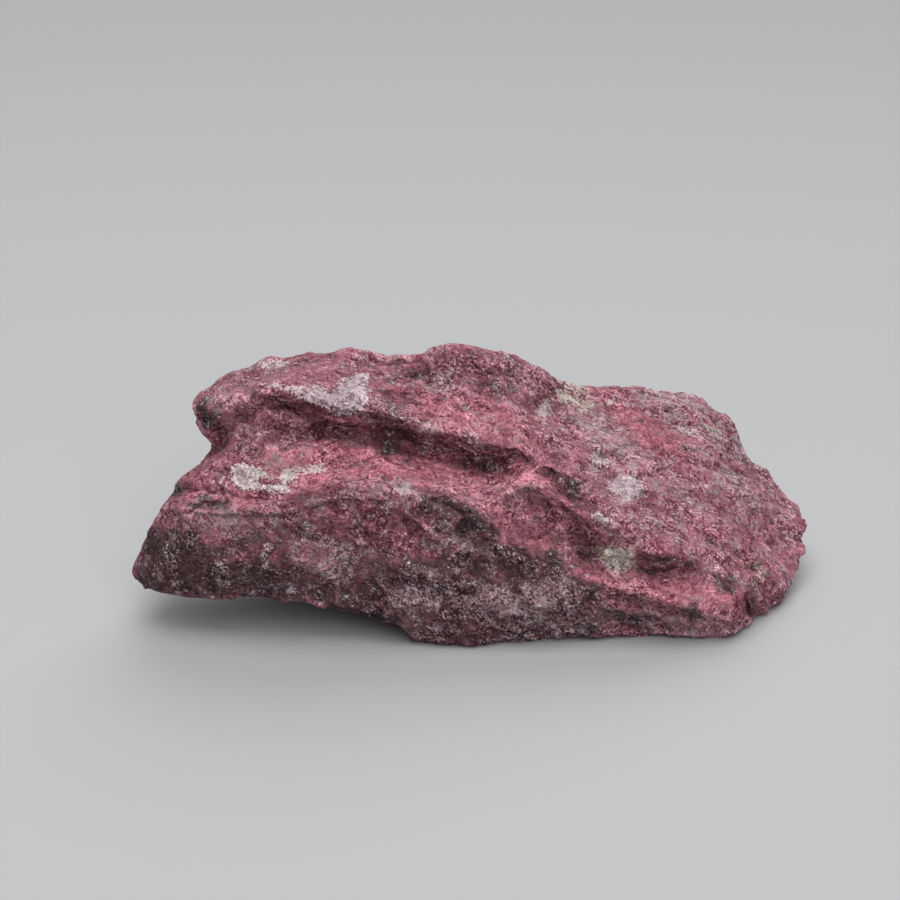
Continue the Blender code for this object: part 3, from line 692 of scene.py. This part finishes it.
# How each zone is laid over the ones before it: its colours, how softly its edge blends, and how
# far the mottles, the specks and the grains eat into it
LAYERS = {
    "rose": (CRIMSON, 0.6, 4, 1.5, 0.3),
    "blush": (BLUSH, 0.6, 4, 1.5, 0.3),
    "wine": (WINE, 0.5, 3, 2, 0.3),
    "dusk": (GREY_PURPLE, 0.5, 5, 2, 0.4),
    "veil": (PALE_GREY, 0.8, 5, 3, 0.6),
    "soot": (BLACK, 0.7, 7, 4, 0.8),
    "chalk": (CHALK_WHITE, 0.12, 2.5, 4.5, 0.7),
    "milk": (MILKY, 0.12, 2.5, 4, 0.6),
    "moss": (MOSSY, 0.6, 4, 2, 0.4),
}

# Soft patterns: (how many to the mm, detail, roughness)
CLOUD = (0.13, 3, 0.6)
GRIT = (0.3, 3, 0.5)
MOTTLE = (0.55, 5, 0.68)
VEIN = (0.6, 4, 0.55)
FROST = (1.2, 5, 0.8)
FIBRE = (2.2, 2, 0.6)
SPECK = (3.4, 3, 0.7)
# Grains: how many to the mm, and how crooked their borders run
COARSE_GRAIN = 0.8
MEDIUM_GRAIN = 1.9
FINE_GRAIN = 3.8
CROOK_SCALE = 1.6
CROOK_DETAIL = 3
CROOK_REACH = 0.7
# How many times longer than wide the grains and the fibres are
GRAIN_LENGTH = 1.2
FIBRE_LENGTH = 5
# The mean tone, where zero is the darkest grain of a colour and one the palest, and how much each
# pattern counts in it
BASE_TONE = 0.475
TONE = {
    "cloud": 0.9, "mottle": 0.7, "coarse": 0.16, "medium": 0.32, "fine": 0.4, "speck": 2.5,
    "fibre": 0.25,
}
# How far each pattern stands out of the skin, in mm
RELIEF = {
    "coarse": 0.5, "medium": 0.7, "fine": 0.45, "gap": -0.12, "mottle": 0.14, "speck": 0.24,
}
# Shade painted into the hollows: what each mm of a hollow's depth adds to the skin's painted shade,
# which is 1 where it is plain
PAINTED_HOLLOW_SHADE = {"fine_hollow": -3.0, "broad_hollow": -0.05}

# Small markings: where each begins, where it is full, and how strongly it shows before and after
GRIT_PLACES = (0.4, 0.6, 0.6, 1.4)
FLECKS = (0.66, 0.74, 0.0, 0.4)
VEIN_WIDTH = (0.016, 0.004)
VEIN_PLACES = (0.5, 0.58, 0.0, 0.45)
GAP_WIDTH = (0.09, 0.02)
GAP_PLACES = (0.5, 0.58, 0.0, 0.4)
DARK_GRAINS = (0.05, 0.03, 0.0, 0.5)
# Painted shade in the hollows: where it begins, where it is full, and how dark the colour is before and
# after
PAINTED_SHADE_RANGE = (0.4, 1.6, 0.68, 1.36)
GLINTS = (0.92, 0.94, 0.8, 0.4)
FLECK_PINK = (0.55, 0.41, 0.44, 1)
VEIN_PINK = (0.56, 0.42, 0.45, 1)
GAP_WINE = (0.05, 0.015, 0.022, 1)
DARK_WINE = (0.06, 0.02, 0.028, 1)
STONE_SHEEN = 0.22


def centred(tree, parts):
    """The sum of value * weight for values about a half, moved so that it lies about zero."""
    return sum_of(tree, parts, -0.5 * sum(weight for value, weight in parts))


def product(tree, first, second):
    """One value times the other."""
    return add(tree, "ShaderNodeMath", {0: first, 1: second}, operation="MULTIPLY").outputs[0]


def less_half(tree, vector):
    """The vector with a half taken off each of its numbers."""
    made = add(tree, "ShaderNodeVectorMath", {0: vector, 1: (0.5, 0.5, 0.5)}, operation="SUBTRACT")
    return made.outputs[0]


def painted(tree, name):
    """The value that is painted on the skin under that name."""
    return add(tree, "ShaderNodeAttribute", attribute_name=name).outputs["Fac"]


def turned(tree, stretch):
    """Place on the stone in mm, turned to the grain and squeezed along it by the stretch."""
    place = add(tree, "ShaderNodeTexCoord").outputs["Object"]
    turn = Vector(GRAIN).to_track_quat("X", "Z").to_euler()
    made = add(tree, "ShaderNodeMapping", {
        "Vector": place, "Rotation": turn, "Scale": (MM * stretch, MM, MM)}, vector_type="TEXTURE")
    return made.outputs["Vector"]


def noise(tree, vector, pattern):
    """A soft pattern from 0 to 1: noise with that scale, detail and roughness."""
    scale, detail, rough = pattern
    made = add(tree, "ShaderNodeTexNoise", {
        "Vector": vector, "Scale": scale, "Detail": detail, "Roughness": rough})
    return made.outputs["Fac"]


def grains(tree, vector, scale):
    """The grains of that size, and three lots from 0 to 1 for each of them."""
    made = add(tree, "ShaderNodeTexVoronoi", {"Vector": vector, "Scale": scale})
    lots = add(tree, "ShaderNodeSeparateColor", {"Color": made.outputs["Color"]}).outputs
    return made, lots


def facets(tree, vector, made):
    """Height of each grain's own face, a plane through its middle whose tilt is drawn by lot."""
    offset = add(tree, "ShaderNodeVectorMath", {0: vector, 1: made.outputs["Position"]},
                 operation="SUBTRACT").outputs[0]
    tilt = less_half(tree, made.outputs["Color"])
    return add(tree, "ShaderNodeVectorMath", {0: offset, 1: tilt},
               operation="DOT_PRODUCT").outputs["Value"]


def make_stone_material(stone):
    """Pink grains with paler and darker zones, whose edges are eaten into by the grains.

    The tone of a grain is a sum of clouds, mottles, grains, specks and fibres. Each zone turns it
    into a colour of its own. Pale flecks and veins, dark gaps and dark grains are laid over that,
    and shade is painted into the hollows of the skin, darker where they are deeper.
    """
    material = bpy.data.materials.new("raw thulite")
    material.use_nodes = True
    tree = material.node_tree
    shader = tree.nodes["Principled BSDF"]

    grainwise = turned(tree, GRAIN_LENGTH)
    wander = add(tree, "ShaderNodeTexNoise", {
        "Vector": grainwise, "Scale": CROOK_SCALE, "Detail": CROOK_DETAIL}).outputs["Color"]
    crooked = add(tree, "ShaderNodeVectorMath", {
        0: less_half(tree, wander), 1: (CROOK_REACH, CROOK_REACH, CROOK_REACH), 2: grainwise},
        operation="MULTIPLY_ADD").outputs[0]
    coarse_cells, coarse_lots = grains(tree, crooked, COARSE_GRAIN)
    medium_cells, medium_lots = grains(tree, crooked, MEDIUM_GRAIN)
    fine_cells, fine_lots = grains(tree, crooked, FINE_GRAIN)
    fine_grain = fine_lots["Green"]
    border = add(tree, "ShaderNodeTexVoronoi", {"Vector": crooked, "Scale": COARSE_GRAIN},
                 feature="DISTANCE_TO_EDGE").outputs["Distance"]
    mottle = noise(tree, grainwise, MOTTLE)
    speck = noise(tree, grainwise, SPECK)
    frost = noise(tree, grainwise, FROST)
    fibre = noise(tree, turned(tree, FIBRE_LENGTH), FIBRE)

    grit = climb(tree, noise(tree, grainwise, GRIT), *GRIT_PLACES)
    fine = product(tree, centred(tree, [
        (medium_lots["Red"], TONE["medium"]), (fine_grain, TONE["fine"]), (speck, TONE["speck"]),
        (fibre, TONE["fibre"])]), grit)
    broad = centred(tree, [
        (noise(tree, grainwise, CLOUD), TONE["cloud"]), (mottle, TONE["mottle"]),
        (coarse_lots["Red"], TONE["coarse"])])
    tone = sum_of(tree, [(broad, 1.0), (fine, 1.0)], BASE_TONE)

    colour = ramp(tree, tone, PINK)
    for name, (stops, soft, by_mottles, by_specks, by_grains) in LAYERS.items():
        eaten = centred(tree, [(mottle, by_mottles), (speck, by_specks), (fine_grain, by_grains)])
        field = sum_of(tree, [(painted(tree, name), 1.0)], eaten)
        colour = over(tree, colour, ramp(tree, tone, stops), climb(tree, field, -soft, soft))

    colour = over(tree, colour, FLECK_PINK, climb(tree, frost, *FLECKS))
    fold = centred(tree, [(noise(tree, crooked, VEIN), 1.0)])
    beside_vein = add(tree, "ShaderNodeMath", {0: fold}, operation="ABSOLUTE").outputs[0]
    vein = product(tree, climb(tree, beside_vein, *VEIN_WIDTH), climb(tree, mottle, *VEIN_PLACES))
    colour = over(tree, colour, VEIN_PINK, vein)
    gap = product(tree, climb(tree, border, *GAP_WIDTH), climb(tree, frost, *GAP_PLACES))
    colour = over(tree, colour, GAP_WINE, gap)
    colour = over(tree, colour, DARK_WINE, climb(tree, medium_lots["Blue"], *DARK_GRAINS))

    # Shade painted into the hollows of the skin: the deeper the hollow, the darker the colour
    hollow_shade = sum_of(tree, [(painted(tree, name), weight) for name, weight in PAINTED_HOLLOW_SHADE.items()], 1.0)
    colour = add(tree, "ShaderNodeVectorMath", {0: colour, "Scale": climb(tree, hollow_shade, *PAINTED_SHADE_RANGE)},
                 operation="SCALE").outputs["Vector"]
    tree.links.new(colour, shader.inputs["Base Color"])

    tree.links.new(climb(tree, fine_grain, *GLINTS), shader.inputs["Roughness"])
    shader.inputs["Specular IOR Level"].default_value = STONE_SHEEN
    height = sum_of(tree, [
        (facets(tree, crooked, coarse_cells), RELIEF["coarse"]),
        (facets(tree, crooked, medium_cells), RELIEF["medium"]),
        (facets(tree, crooked, fine_cells), RELIEF["fine"]),
        (gap, RELIEF["gap"]), (mottle, RELIEF["mottle"]), (speck, RELIEF["speck"])])
    bump = add(tree, "ShaderNodeBump", {"Height": height, "Strength": 1.0, "Distance": MM})
    tree.links.new(bump.outputs["Normal"], shader.inputs["Normal"])
    stone.data.materials.clear()
    stone.data.materials.append(material)


# The floor: how far it runs to the sides and the front, the lines across its level part, and where
# the bend at the back begins, its radius and its steps
FLOOR_REACH = 5000
FLOOR_LEVEL = np.linspace(-600, 600, 7)
BEND_START = 900
BEND_RADIUS = 500
BEND_STEPS = 17
FLOOR_GREY = (0.385, 0.389, 0.395, 1)
FLOOR_ROUGHNESS = 0.9
FLOOR_SHEEN = 0.1

# Lamps: (bearing from +X, height over the floor, how wide it looks, all in degrees, and strength)
LAMPS = {"front": (280, 35, 40, 1.38), "back": (78, 40, 50, 1.85)}
# The softbox over the stone, with its place and size in metres, and the light from all around
SOFTBOX_PLACE = (-0.02, -0.1, 0.64)
SOFTBOX_SIZE = 0.6
SOFTBOX_WATTS = 3.15
SKY_COLOUR = (0.97, 0.985, 1, 1)
SKY_STRENGTH = 0.2


def make_floor():
    """A pale floor that runs level round the stone and bends up far behind it.

    Its profile is a level line, then a quarter of a circle, and is carried straight across.
    """
    turns = np.linspace(0, math.pi / 2, BEND_STEPS)
    level = np.concatenate([[-FLOOR_REACH], FLOOR_LEVEL])
    y = np.concatenate([level, BEND_START + BEND_RADIUS * np.sin(turns)])
    z = np.concatenate([np.zeros(len(level)), BEND_RADIUS * (1 - np.cos(turns))])
    x = np.tile([-FLOOR_REACH, FLOOR_REACH], len(y))
    points = np.stack([x, np.repeat(y, 2), np.repeat(z, 2)], axis=1) * MM
    rows = np.arange(len(y) - 1) * 2
    faces = np.stack([rows, rows + 1, rows + 3, rows + 2], axis=1)
    mesh = bpy.data.meshes.new("floor")
    mesh.from_pydata(points.tolist(), [], faces.tolist())
    mesh.shade_smooth()
    floor = bpy.data.objects.new("floor", mesh)
    bpy.context.scene.collection.objects.link(floor)
    material = bpy.data.materials.new("pale floor")
    material.use_nodes = True
    shader = material.node_tree.nodes["Principled BSDF"]
    shader.inputs["Base Color"].default_value = FLOOR_GREY
    shader.inputs["Roughness"].default_value = FLOOR_ROUGHNESS
    shader.inputs["Specular IOR Level"].default_value = FLOOR_SHEEN
    mesh.materials.append(material)


def add_lamp(name, bearing, height, width, strength):
    """A far lamp that shines on the stone from that bearing and height."""
    light = bpy.data.lights.new(name, "SUN")
    light.angle = math.radians(width)
    light.energy = strength
    lamp = bpy.data.objects.new(name, light)
    lamp.rotation_euler = (0, math.radians(90 - height), math.radians(bearing))
    bpy.context.scene.collection.objects.link(lamp)


def add_softbox():
    """A round softbox, turned towards the stone."""
    light = bpy.data.lights.new("top", "AREA")
    light.shape = "DISK"
    light.size = SOFTBOX_SIZE
    light.energy = SOFTBOX_WATTS
    softbox = bpy.data.objects.new("top", light)
    softbox.location = SOFTBOX_PLACE
    softbox.rotation_euler = Vector(SOFTBOX_PLACE).to_track_quat("Z", "Y").to_euler()
    bpy.context.scene.collection.objects.link(softbox)


def make_light():
    """The softbox, the lamps, and a weak even light from all around."""
    add_softbox()
    for name, (bearing, height, width, strength) in LAMPS.items():
        add_lamp(name, bearing, height, width, strength)
    world = bpy.data.worlds.new("studio")
    bpy.context.scene.world = world
    world.use_nodes = True
    sky = world.node_tree.nodes["Background"]
    sky.inputs["Color"].default_value = SKY_COLOUR
    sky.inputs["Strength"].default_value = SKY_STRENGTH


def make_camera():
    """The eye, turned so that PICTURE_MIDDLE shows in the middle of the frame."""
    sine, cosine = math.sin(EYE_TILT), math.cos(EYE_TILT)
    across, up = PICTURE_MIDDLE
    foot = Vector(EYE_FOOT)
    eye = foot + Vector((0, -cosine, sine)) * EYE_DISTANCE
    aim = foot + Vector((across, up * sine, up * cosine))
    lens = bpy.data.cameras.new("camera")
    lens.sensor_width = SENSOR_WIDTH
    lens.lens = SENSOR_WIDTH * EYE_DISTANCE / PICTURE_WIDTH
    lens.clip_start = NEAREST_SHOWN * MM
    camera = bpy.data.objects.new("camera", lens)
    camera.location = eye * MM
    camera.rotation_euler = (aim - eye).to_track_quat("-Z", "Y").to_euler()
    bpy.context.scene.collection.objects.link(camera)
    bpy.context.scene.camera = camera


bpy.context.scene.view_settings.view_transform = "Standard"
make_camera()
make_light()
make_floor()
stone = make_skin(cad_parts[NODE])
paint_zones(stone.data)
make_stone_material(stone)
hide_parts(NODE)
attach(stone, "root")
